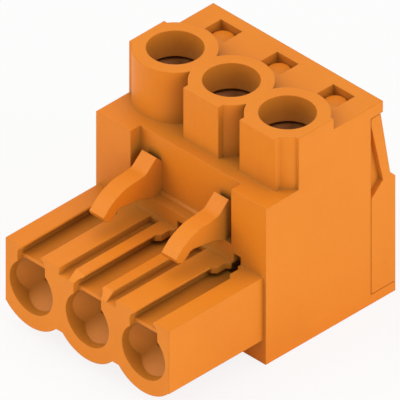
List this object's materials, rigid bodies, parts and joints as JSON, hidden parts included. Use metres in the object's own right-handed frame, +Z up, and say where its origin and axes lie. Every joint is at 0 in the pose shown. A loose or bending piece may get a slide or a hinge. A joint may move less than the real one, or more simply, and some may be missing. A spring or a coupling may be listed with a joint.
{
  "type": "pluggable terminal block",
  "caption": "Orange screw terminal plug with round pin sockets in front, collared screw holes on top, wire entries at the back and latch arms.",
  "frame": {"origin": "middle of the rectangle round the whole plug, on the plane of its flat bottom", "axes": "+X along the row of poles, +Y from the pin sockets towards the wire entries, +Z up out of the screw holes"},
  "size_m": [0.0154, 0.0202, 0.0162],
  "materials": {
    "moulded_plastic": "fine matt moulding",
    "plated_steel": "zinc plated",
    "tinned_copper": "bright tin plating on a copper alloy"
  },
  "bodies": {
    "housing": {"housing": "moulded_plastic", "rear_cover": "moulded_plastic", "contact_1": "tinned_copper", "contact_2": "tinned_copper", "contact_3": "tinned_copper"},
    "screw_1": {"clamp_screw_1": "plated_steel"},
    "screw_2": {"clamp_screw_2": "plated_steel"},
    "screw_3": {"clamp_screw_3": "plated_steel"},
    "yoke_1": {"clamp_yoke_1": "plated_steel"},
    "yoke_2": {"clamp_yoke_2": "plated_steel"},
    "yoke_3": {"clamp_yoke_3": "plated_steel"}
  },
  "joints": [
    {"name": "screw_turn_1", "type": "hinge", "parent": "housing", "child": "screw_1", "pos_m": [-0.00508, 0.00294, 0.0135], "axis": [0, 0, -1], "range_deg": [0, 1800]},
    {"name": "screw_turn_2", "type": "hinge", "parent": "housing", "child": "screw_2", "pos_m": [0, 0.00294, 0.0135], "axis": [0, 0, -1], "range_deg": [0, 1800]},
    {"name": "screw_turn_3", "type": "hinge", "parent": "housing", "child": "screw_3", "pos_m": [0.00508, 0.00294, 0.0135], "axis": [0, 0, -1], "range_deg": [0, 1800]},
    {"name": "yoke_lift_1", "type": "slide", "parent": "housing", "child": "yoke_1", "axis": [0, 0, 1], "range_m": [0, 0.00225]},
    {"name": "yoke_lift_2", "type": "slide", "parent": "housing", "child": "yoke_2", "axis": [0, 0, 1], "range_m": [0, 0.00225]},
    {"name": "yoke_lift_3", "type": "slide", "parent": "housing", "child": "yoke_3", "axis": [0, 0, 1], "range_m": [0, 0.00225]}
  ],
  "couplings": [
    {"joint": "screw_turn_1", "follows": "yoke_lift_1", "rad_per_m": 13963},
    {"joint": "screw_turn_2", "follows": "yoke_lift_2", "rad_per_m": 13963},
    {"joint": "screw_turn_3", "follows": "yoke_lift_3", "rad_per_m": 13963}
  ]
}
